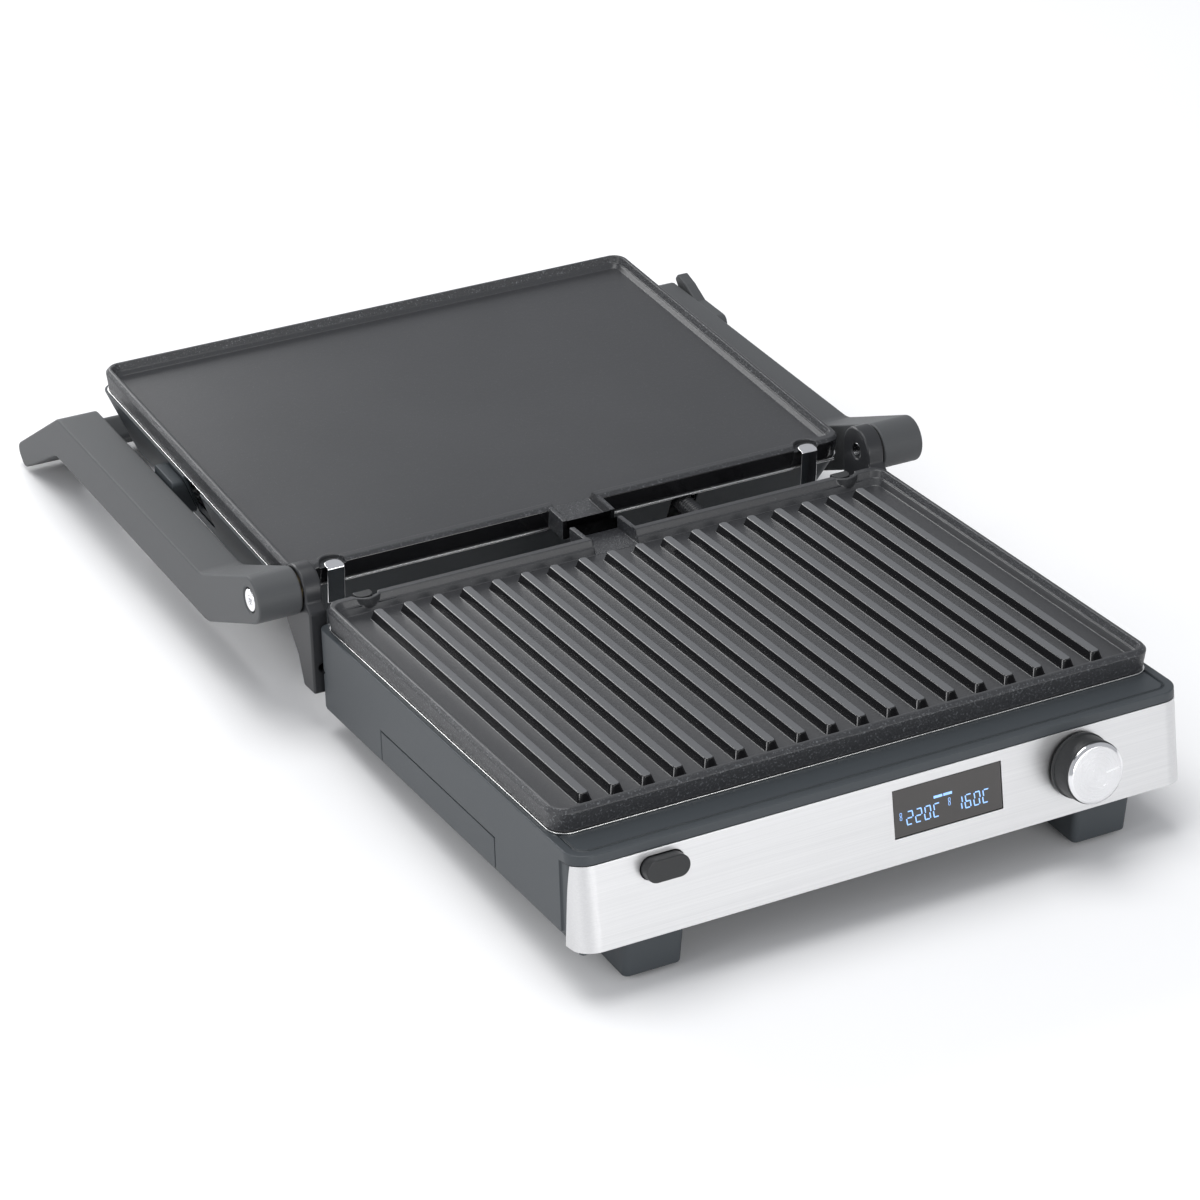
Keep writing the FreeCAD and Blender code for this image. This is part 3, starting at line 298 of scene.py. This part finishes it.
finishes = {
    "floor": coatedFloor(),
    "rim": coatedRim(),
    # lighter copy of the plate's own coat, set on the rib crests: painted light
    "litRibTop": mouldedPlastic("ribCrest", (0.085, 0.088, 0.093, 1), (0.105, 0.108, 0.113, 1),
                             0.34, 0.1, 700),
    "steel": brushedSteel(),
    "slate": mouldedPlastic("slatePlastic", (0.036, 0.043, 0.049, 1), (0.043, 0.05, 0.056, 1),
                            0.46, 0.12, 1400),
    "arm": mouldedPlastic("armPlastic", (0.05, 0.053, 0.056, 1), (0.06, 0.063, 0.066, 1),
                          0.56, 0.2, 1700, 0.05),
    "black": mouldedPlastic("satinBlack", (0.014, 0.015, 0.016, 1), (0.02, 0.021, 0.022, 1),
                            0.4, 0.15, 1500),
    "hinge": mouldedPlastic("hingeBlack", (0.018, 0.019, 0.021, 1), (0.026, 0.027, 0.03, 1),
                            0.38, 0.12, 1500),
    # near-black gloss: the hinge-side skirt's own finish, and painted shade on the rib sides
    "glossAndShade": polished("glossBlackAndShade", (0.008, 0.008, 0.009), 0.1, 0.0, 0.3),
    "sheet": polished("brightSheet", (0.78, 0.78, 0.77), 0.2),
    "chrome": polished("chromePlate", (0.82, 0.82, 0.83), 0.07),
    "spring": polished("springSteel", (0.62, 0.62, 0.64), 0.2),
    "brass": polished("plainBrass", (0.66, 0.5, 0.22), 0.25),
    "tube": heatTinted(),
    "rubber": mouldedPlastic("footRubber", (0.012, 0.012, 0.012, 1), (0.02, 0.02, 0.02, 1),
                             0.78, 0.4, 800),
    "circuit": mouldedPlastic("circuitBoard", (0.01, 0.07, 0.03, 1), (0.02, 0.11, 0.05, 1),
                              0.4, 0.2, 500),
    "glass": smokedGlass(),
    "digit": glowing("digitBlue", (0.24, 0.42, 0.78), 1.1),
    "print": mouldedPlastic("printedGrey", (0.3, 0.3, 0.3, 1), (0.36, 0.36, 0.36, 1), 0.5,
                            0.05, 900),
    "mark": mouldedPlastic("engravedWhite", (0.75, 0.75, 0.76, 1), (0.85, 0.85, 0.86, 1),
                           0.45, 0.05, 900),
}
finishes["spun"] = spunAluminium(middleOf("knob_cap"), panelTurn)
print("finishes", len(finishes))


# mesh helpers
def finishPiece(name, mesh, finish, body, replaced=(), sharp=35.0):
    data = bpy.data.meshes.new(name)
    mesh.to_mesh(data)
    mesh.free()
    piece = bpy.data.objects.new(name, data)
    bpy.context.scene.collection.objects.link(piece)
    for key in (finish if isinstance(finish, (list, tuple)) else [finish]):
        data.materials.append(finishes[key])
    for face in data.polygons:
        face.use_smooth = True
    data.set_sharp_from_angle(angle=radians(sharp))
    level = piece.modifiers.new("levelNormals", "WEIGHTED_NORMAL")
    level.keep_sharp = True
    if body:
        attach(piece, body)
    if replaced:
        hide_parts(*replaced)
    return piece


merging = {"close": 2e-6, "flat": 0.8, "cell": 24, "onPlane": 1e-6}


def mergedCopy(node):
    mesh = bmesh.new()
    mesh.from_mesh(nodes[node].data)
    bmesh.ops.remove_doubles(mesh, verts=mesh.verts, dist=merging["close"])
    bmesh.ops.dissolve_degenerate(mesh, edges=mesh.edges, dist=merging["close"])
    bmesh.ops.dissolve_limit(mesh, angle_limit=radians(merging["flat"]), verts=mesh.verts,
                             edges=mesh.edges, delimit={"NORMAL"})
    cutGrid(mesh, merging["cell"] * mm)
    return mesh


def cutGrid(mesh, step):
    # wide flat faces are cut into cells so that they shade flat and never fold over a hole
    for axis in (Vector((1, 0, 0)), Vector((0, 1, 0))):
        reach = [vert.co.dot(axis) for vert in mesh.verts]
        first, span = min(reach), max(reach) - min(reach)
        cuts = int(span / step)
        for count in range(1, cuts + 1):
            place = first + count * span / (cuts + 1)
            bmesh.ops.bisect_plane(mesh, geom=mesh.verts[:] + mesh.edges[:] + mesh.faces[:],
                                   dist=merging["onPlane"], plane_co=axis * place,
                                   plane_no=axis)


def roundSharp(mesh, width, segments, angle=32.0):
    edges = [edge for edge in mesh.edges if len(edge.link_faces) == 2
             and edge.calc_face_angle(0) > radians(angle)]
    bmesh.ops.bevel(mesh, geom=edges, offset=width, offset_type="OFFSET", segments=segments,
                    profile=0.5, affect="EDGES", clamp_overlap=False, material=-1)


def softened(node, finish, width, segments):
    mesh = mergedCopy(node)
    roundSharp(mesh, width * mm, segments)
    return finishPiece(node + "_look", mesh, finish, bodyOf[node], (node,))


# the two cooking plates
plate = {"edge": 0.45, "edgeSteps": 3, "edgeAngle": 24.0, "lowerFloor": 6.6,
         "upperFloor": 5.4, "ribHalf": 136.0, "ribNear": 29.0, "ribFar": 239.5,
         "wallInside": 4.9, "near": 16.6, "far": 250.8, "half": 150.0, "slack": 0.3,
         "facing": 0.9, "skirtDeep": 1.6, "skirtFacing": 0.8}
plateFinishes = ["rim", "floor", "glossAndShade", "litRibTop"]


def plateFinish(side, floorDepth, ribbed, spot, normal):
    # spot is in the plate's own frame: x across, y from the hinge line, z up from the rim
    across, along, depth = abs(spot.x), spot.y * side, -spot.z
    towardHinge = -normal.y * side
    inside = (across < plate["half"] - plate["wallInside"]
              and along < plate["far"] - plate["wallInside"]
              and along > plate["near"] + plate["wallInside"])
    ribArea = (ribbed and across < plate["ribHalf"]
               and plate["ribNear"] < along < plate["ribFar"])
    faceUp = normal.z > plate["facing"]
    # rib crests take the lighter copy of the coat as painted light
    if ribArea and depth < floorDepth - plate["slack"]:
        # rib sides take the near-black gloss as painted shade
        return "litRibTop" if faceUp else "glossAndShade"
    if inside or (faceUp and depth < plate["slack"]):
        return "floor"
    if along < plate["near"] + plate["skirtDeep"] and towardHinge > plate["skirtFacing"]:
        return "glossAndShade"
    return "rim"


def plateLook(node, side, origin, turn, ribbed):
    mesh = mergedCopy(node)
    roundSharp(mesh, plate["edge"] * mm, plate["edgeSteps"], plate["edgeAngle"])
    back = turn.transposed()
    floorDepth = plate["lowerFloor" if ribbed else "upperFloor"]
    for face in mesh.faces:
        spot = back @ (face.calc_center_median() - origin(0, 0, 0)) / mm
        chosen = plateFinish(side, floorDepth, ribbed, spot, back @ face.normal)
        face.material_index = plateFinishes.index(chosen)
    finishPiece(node + "_look", mesh, plateFinishes, bodyOf[node], (node,))


plateLook("lower_grill_plate", -1, basePoint, leanTurn, True)
plateLook("upper_griddle_plate", 1, lidPoint, lidTurn, False)
print("plates done")

# casings, arms and small parts keep their CAD shape and get real edges
looks = [
    ("base_housing", "slate", 0.6, 3), ("base_bottom_cover", "slate", 0.5, 2),
    ("front_panel", "steel", 0.22, 2), ("front_feet", "slate", 0.8, 3),
    ("rear_feet", "slate", 0.8, 3), ("front_foot_pads", "rubber", 0.5, 2),
    ("rear_foot_pads", "rubber", 0.5, 2), ("drip_tray", "slate", 0.35, 2),
    ("left_arm", "arm", 1.0, 3), ("right_arm", "arm", 1.0, 3), ("handle_bar", "arm", 0.8, 3),
    ("left_hinge_bracket", "hinge", 1.2, 3), ("right_hinge_bracket", "hinge", 1.2, 3),
    ("lid_housing", "slate", 0.7, 3), ("lid_cover", "steel", 0.4, 2),
    ("lid_pivot_bosses", "slate", 0.5, 2), ("hinge_bolts", "chrome", 0.35, 2),
    ("lower_plate_clips", "black", 0.35, 2), ("upper_plate_clips", "chrome", 0.35, 2),
    ("lower_release_button", "black", 0.6, 3), ("upper_release_button", "black", 0.6, 3),
    ("release_lever", "arm", 0.8, 3), ("lever_pin", "spring", 0.4, 2),
    ("mains_lead_gland", "black", 0.4, 2), ("conduit_collar", "black", 0.4, 2),
    ("drain_chute", "black", 0.3, 2), ("display_window", "glass", 0.2, 2),
    ("terminal_block", "mark", 0.3, 2), ("bottom_screws", "spring", 0.3, 2),
    ("lower_reflector_pan", "sheet", 0.2, 2), ("upper_reflector_pan", "sheet", 0.2, 2),
]
for node, finish, width, segments in looks:
    softened(node, finish, width, segments)
print("softened", len(looks))

# hidden pieces keep the CAD mesh under a worked finish
hidden = {
    "lower_heating_element": "tube", "upper_heating_element": "tube",
    "lower_temperature_sensor": "spring", "upper_temperature_sensor": "spring",
    "display_module": "circuit", "control_board": "circuit", "encoder_body": "spring",
    "encoder_plunger": "spring", "knob_shaft": "spring", "hinge_washers": "brass",
    "handle_screws": "spring", "lid_pivot_pins": "spring",
    "lower_release_guide": "black", "upper_release_guide": "black",
}
for node, finish in hidden.items():
    data = nodes[node].data
    data.materials.clear()
    data.materials.append(finishes[finish])
print("hidden", len(hidden))


# knob, turned about the panel's own axis
knob = {"skirt": 14.6, "ring": 15.2, "cap": 14.0, "bevel": 1.1, "steps": 96, "depth": 13.9,
        "capHalf": 1.05, "sharp": 28, "chromeFrom": 1.6, "pointerPlace": (8.05, 0, 0.05),
        "pointerSize": (7.0, 0.12, 0.8), "pointerRoll": 7.5}
knobAxis = Vector(joints["knob_turn"]["axis"]).normalized()


def turned(profile, centre, axis, steps):
    # profile: pairs of distance along the axis and radius, closed at both ends
    mesh = bmesh.new()
    side = axis.orthogonal().normalized()
    points = [mesh.verts.new(centre + axis * along + side * radius)
              for along, radius in profile]
    edges = [mesh.edges.new(pair) for pair in zip(points, points[1:])]
    bmesh.ops.spin(mesh, geom=points + edges, cent=centre, axis=axis, dvec=(0, 0, 0),
                   angle=2 * pi, steps=steps, use_merge=True, use_duplicate=False)
    bmesh.ops.remove_doubles(mesh, verts=mesh.verts, dist=1e-6)
    bmesh.ops.recalc_face_normals(mesh, faces=mesh.faces)
    return mesh


def knobLook():
    front = middleOf("knob_cap") + knobAxis * knob["capHalf"] * mm
    reach, cap, ring = knob["skirt"] * mm, knob["cap"] * mm, knob["ring"] * mm
    depth = knob["depth"] * mm
    skirt = [(-depth, 0), (-depth, ring - 0.4 * mm), (-depth + 0.4 * mm, ring),
             (-depth + 1.5 * mm, ring), (-depth + 1.9 * mm, reach),
             (-2.6 * mm, reach - 0.1 * mm), (-2.1 * mm, reach - 0.5 * mm), (-2.1 * mm, 0)]
    mesh = turned(skirt, front, knobAxis, knob["steps"])
    finishPiece("knobSkirt", mesh, "black", "knob", ("knob_skirt",),
                knob["sharp"])
    bevel = knob["bevel"] * mm
    face = [(-2.1 * mm, 0), (-2.1 * mm, cap - 0.2 * mm), (-1.9 * mm, cap),
            (-bevel, cap), (-0.35 * mm, cap - 0.9 * mm), (-0.12 * mm, cap - 1.35 * mm),
            (0, cap - 1.9 * mm), (0, cap * 0.5), (0, 0)]
    mesh = turned(face, front, knobAxis, knob["steps"])
    rim = cap - knob["chromeFrom"] * mm
    for part in mesh.faces:
        middle = part.calc_center_median() - front
        away = (middle - knobAxis * middle.dot(knobAxis)).length
        part.material_index = 1 if away > rim else 0
    finishPiece("knobCap", mesh, ["spun", "chrome"], "knob", ("knob_cap",),
                knob["sharp"])
    pointer = barMesh(front + panelTurn @ (Vector(knob["pointerPlace"]) * mm), panelTurn,
                      Vector(knob["pointerSize"]) * mm, knob["pointerRoll"])
    finishPiece("knobPointer", pointer, "mark", "knob", ())


def barMesh(centre, turn, size, roll=0.0):
    # a thin raised bar lying in a panel plane, rolled about the plane's normal
    mesh = bmesh.new()
    bmesh.ops.create_cube(mesh, size=1.0)
    bmesh.ops.scale(mesh, vec=size, verts=mesh.verts)
    bmesh.ops.bevel(mesh, geom=list(mesh.edges), offset=min(size) * 0.3,
                    offset_type="OFFSET", segments=1, profile=0.5, affect="EDGES",
                    material=-1)
    spun = turn.to_4x4() @ Matrix.Rotation(radians(-roll), 4, "Y")
    bmesh.ops.transform(mesh, matrix=Matrix.Translation(centre) @ spun, verts=mesh.verts)
    return mesh


knobLook()
print("knob done")

# display: seven-segment digits standing a hair proud of the window
display = {"digitHigh": 6.0, "digitWide": 2.7, "stroke": 0.56, "pitch": 4.5, "slant": 6.0,
           "proud": 0.05, "line": 14.0, "left": 7.8, "right": 32.8,
           "topFront": (0, -0.8, 10.95), "strokeGap": 0.75, "sideGap": 0.7}
icon = {"places": ((3.4, 12.5), (27.9, 11.8)), "apart": 0.9, "side": 0.45, "lift": 0.75,
        "thin": 0.22, "tall": 1.3, "wide": 0.8}
level = {"count": 2, "start": 22.4, "pitch": 4.9, "down": 7.9, "wide": 4.4, "high": 1.2}
# each stroke: its place across and along the digit, and whether it lies flat
segments = {"a": (0, 1, True), "b": (0.5, 0.5, False), "c": (0.5, -0.5, False),
            "d": (0, -1, True), "e": (-0.5, -0.5, False), "f": (-0.5, 0.5, False),
            "g": (0, 0, True)}
digitShapes = {"0": "abcdef", "1": "bc", "2": "abged", "6": "acdefg", "C": "adef"}


def panelPoint(x, down, out=0.0):
    # a point on the window's face: x across from its left edge, down from its top edge
    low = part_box("display_window")[0]
    middle = middleOf("display_window")
    corner = Vector((low.x, middle.y, middle.z))
    corner = corner + panelTurn @ (Vector(display["topFront"]) * mm)
    return corner + panelTurn @ (Vector((x, -out, -down)) * mm)


def addBar(target, centre, wide, high, roll=0.0, deep=0.1):
    bar = barMesh(centre, panelTurn, Vector((wide, deep, high)) * mm, roll)
    held = bpy.data.meshes.new("bar")
    bar.to_mesh(held)
    bar.free()
    target.from_mesh(held)
    bpy.data.meshes.remove(held)


def digitAt(target, letter, x, down):
    high, wide, stroke = display["digitHigh"], display["digitWide"], display["stroke"]
    for name in digitShapes[letter]:
        across, along, flat = segments[name]
        lean = along * high / 2 * sin(radians(display["slant"]))
        centre = panelPoint(x + across * wide + lean, down - along * high / 2, display["proud"])
        if flat:
            addBar(target, centre, wide - stroke * display["strokeGap"], stroke)
        else:
            addBar(target, centre, stroke, high / 2 - stroke * display["sideGap"],
                   display["slant"])


def displayLook():
    mesh = bmesh.new()
    for word, start in (("220C", display["left"]), ("160C", display["right"])):
        for index, letter in enumerate(word):
            digitAt(mesh, letter, start + index * display["pitch"], display["line"])
    finishPiece("displayDigits", mesh, "digit", "base", ())
    icons = bmesh.new()
    proud = display["proud"]
    for x, middle in icon["places"]:
        for down in (middle - icon["apart"], middle + icon["apart"]):
            for side in (-icon["side"], icon["side"]):
                addBar(icons, panelPoint(x + side, down, proud), icon["thin"], icon["tall"])
            for lift in (-icon["lift"], icon["lift"]):
                addBar(icons, panelPoint(x, down + lift, proud), icon["wide"], icon["thin"])
    for index in range(level["count"]):
        addBar(icons, panelPoint(level["start"] + index * level["pitch"], level["down"], proud),
               level["wide"], level["high"])
    finishPiece("displayIcons", icons, "digit", "base", ())


displayLook()
print("display done")


# corrugated sleeve at the hinge, left standing where it is built
conduit = {"root": 3.9, "crest": 4.55, "pitch": 1.9, "steps": 28, "length": 55.8,
           "rise": 4.5, "start": (62, -24, -19.6), "stillNear": 9, "stillFar": 8, "sharp": 60,
           "wave": ((0.0, "root"), (0.3, "root"), (0.5, "crest"), (0.8, "crest"))}


def conduitLook():
    axis = leanTurn @ Matrix.Rotation(radians(conduit["rise"]), 3, "X") @ Vector((0, 1, 0))
    start = basePoint(*conduit["start"])
    length = conduit["length"] * mm
    count = int(length / (conduit["pitch"] * mm))
    profile = [(0, 0)]
    for index in range(count):
        base = index * conduit["pitch"] * mm
        for share, radius in conduit["wave"]:
            profile.append((base + share * conduit["pitch"] * mm, conduit[radius] * mm))
    profile.append((length, conduit["root"] * mm))
    profile.append((length, 0))
    mesh = turned(profile, start, axis, conduit["steps"])
    piece = finishPiece("cableConduit", mesh, "hinge", None, ("cable_conduit",),
                        conduit["sharp"])
    return piece, start, axis, length


def conduitBend():
    piece, start, axis, length = conduitLook()
    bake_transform(piece)


conduitBend()

# rolled bright edge under the flat plate's hinge side, split round the clips
lip = {"round": 0.62, "back": 17.6, "drop": 11.9, "steps": 16, "sharp": 60,
       "runs": ((-145.0, -134.5), (-121.5, -14.8), (14.8, 121.5), (134.5, 145.0))}


def lipLook():
    joined = bmesh.new()
    for left, right in lip["runs"]:
        start = lidPoint(left, lip["back"], -lip["drop"])
        radius, length = lip["round"] * mm, (right - left) * mm
        shape = [(0, 0), (0, radius * 0.6), (radius * 0.4, radius),
                 (length - radius * 0.4, radius), (length, radius * 0.6), (length, 0)]
        run = turned(shape, start, Vector((1, 0, 0)), lip["steps"])
        held = bpy.data.meshes.new("run")
        run.to_mesh(held)
        run.free()
        joined.from_mesh(held)
        bpy.data.meshes.remove(held)
    finishPiece("lidLip", joined, "sheet", "lid", (), lip["sharp"])


lipLook()

# back: from the knob's face to the steel behind it
mark = {"back": 15.5, "proud": 0.02, "long": 2.6, "thick": 0.42, "deep": 0.08,
        "places": ((-20.5, 4.0, (0,)), (17.8, 5.5, (0, 90)))}


def scaleMarks():
    # a minus and a plus printed on the steel, either side of the knob
    marks = bmesh.new()
    face = middleOf("knob_cap") + knobAxis * (knob["capHalf"] - mark["back"] + mark["proud"]) * mm
    for across, lift, rolls in mark["places"]:
        for roll in rolls:
            addBar(marks, face + panelTurn @ (Vector((across, 0, lift)) * mm), mark["long"],
                   mark["thick"], roll, mark["deep"])
    finishPiece("knobScaleMarks", marks, "print", "base", ())


scaleMarks()

# coil springs behind the two release buttons
spring = {"wire": 0.45, "radius": 3.55, "turns": 7, "stepsPerTurn": 20, "length": 10.6,
          "wireSides": 8, "sharp": 70}


def coilLook(node, axis):
    middle = middleOf(node)
    length = spring["length"] * mm
    side = axis.orthogonal().normalized()
    mesh = bmesh.new()
    start = middle - axis * length / 2
    made = bmesh.ops.create_circle(mesh, cap_ends=False, radius=spring["wire"] * mm,
                                   segments=spring["wireSides"])
    across = axis.cross(side)
    basis = Matrix((side, axis, across)).transposed().to_4x4()
    place = Matrix.Translation(start + side * spring["radius"] * mm)
    bmesh.ops.transform(mesh, matrix=place @ basis, verts=made["verts"])
    steps = spring["turns"] * spring["stepsPerTurn"]
    bmesh.ops.spin(mesh, geom=list(mesh.verts) + list(mesh.edges), cent=start, axis=axis,
                   dvec=axis * (length / steps), angle=2 * pi * spring["turns"],
                   steps=steps, use_duplicate=False)
    bmesh.ops.remove_doubles(mesh, verts=mesh.verts, dist=1e-7)
    bmesh.ops.holes_fill(mesh, edges=mesh.edges, sides=0)
    bmesh.ops.recalc_face_normals(mesh, faces=mesh.faces)
    piece = finishPiece(node + "_coil", mesh, "spring", None, (node,),
                        spring["sharp"])
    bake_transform(piece)


coilLook("lower_release_spring", panelTurn @ Vector((0, 1, 0)))
coilLook("upper_release_spring", lidTurn @ Vector((0, -1, 0)))
print("conduit and springs done")

# studio
studio = {"lens": 125.82, "sensor": 36.0, "place": (-829.0, -1569.9, 996.2),
          "elevation": 28.89, "azimuth": 27.93, "clipEnd": 20.0, "floorHalf": 6.0,
          "floorDrop": 0.0002, "worldColour": (0.93, 0.95, 1.0, 1), "worldStrength": 0.5}
# each light: where it stands, what it faces, how wide and deep it is, and its power
lights = {
    "overheadBox": ((-0.25, 0.1, 1.9), (0, 0, 0), (1.5, 1.1), 22),
    "backBox": ((-0.5, 2.3, 1.15), (0, 0, 0.05), (2.2, 0.9), 34),
    "frontBox": ((0.2, -2.4, 0.55), (0, -0.25, 0.05), (1.7, 0.7), 20),
    "leftBox": ((-2.1, -0.5, 0.8), (-0.1, -0.1, 0.05), (0.9, 0.9), 12),
}


def cameraSetup():
    data = bpy.data.cameras.new("camera")
    data.lens, data.sensor_width = studio["lens"], studio["sensor"]
    data.clip_end = studio["clipEnd"]
    camera = bpy.data.objects.new("camera", data)
    camera.location = Vector(studio["place"]) * mm
    camera.rotation_euler = (radians(90 - studio["elevation"]), 0, radians(-studio["azimuth"]))
    bpy.context.scene.collection.objects.link(camera)
    bpy.context.scene.camera = camera


def areaLight(name, place, target, size, power):
    data = bpy.data.lights.new(name, "AREA")
    data.shape, data.size, data.size_y = "RECTANGLE", size[0], size[1]
    data.energy = power
    lamp = bpy.data.objects.new(name, data)
    lamp.location = place
    aim = Vector(target) - Vector(place)
    lamp.rotation_euler = aim.to_track_quat("-Z", "Y").to_euler()
    bpy.context.scene.collection.objects.link(lamp)


def floorPlane():
    mesh = bmesh.new()
    bmesh.ops.create_grid(mesh, x_segments=1, y_segments=1, size=studio["floorHalf"])
    data = bpy.data.meshes.new("studioFloor")
    mesh.to_mesh(data)
    mesh.free()
    plane = bpy.data.objects.new("studioFloor", data)
    plane.location.z = -studio["floorDrop"]
    bpy.context.scene.collection.objects.link(plane)
    material, tree, shader, place = newMaterial("paleFloor", {"Specular IOR Level": 0.2})
    cloud = noise(tree, place, 1.5, 2)
    feed(tree, shader, {
        "Base Color": tint(tree, cloud, (0.86, 0.86, 0.865, 1), (0.9, 0.9, 0.9, 1)),
        "Roughness": 0.6 + cloud * 0.1})
    data.materials.append(material)


def worldLight():
    world = bpy.data.worlds.new("studioWorld")
    world.use_nodes = True
    background = world.node_tree.nodes["Background"]
    background.inputs["Color"].default_value = studio["worldColour"]
    background.inputs["Strength"].default_value = studio["worldStrength"]
    bpy.context.scene.world = world


cameraSetup()
floorPlane()
worldLight()
for name, (place, target, size, power) in lights.items():
    areaLight(name, place, target, size, power)
scene = bpy.context.scene
scene.view_settings.view_transform = "Standard"
print("studio done")
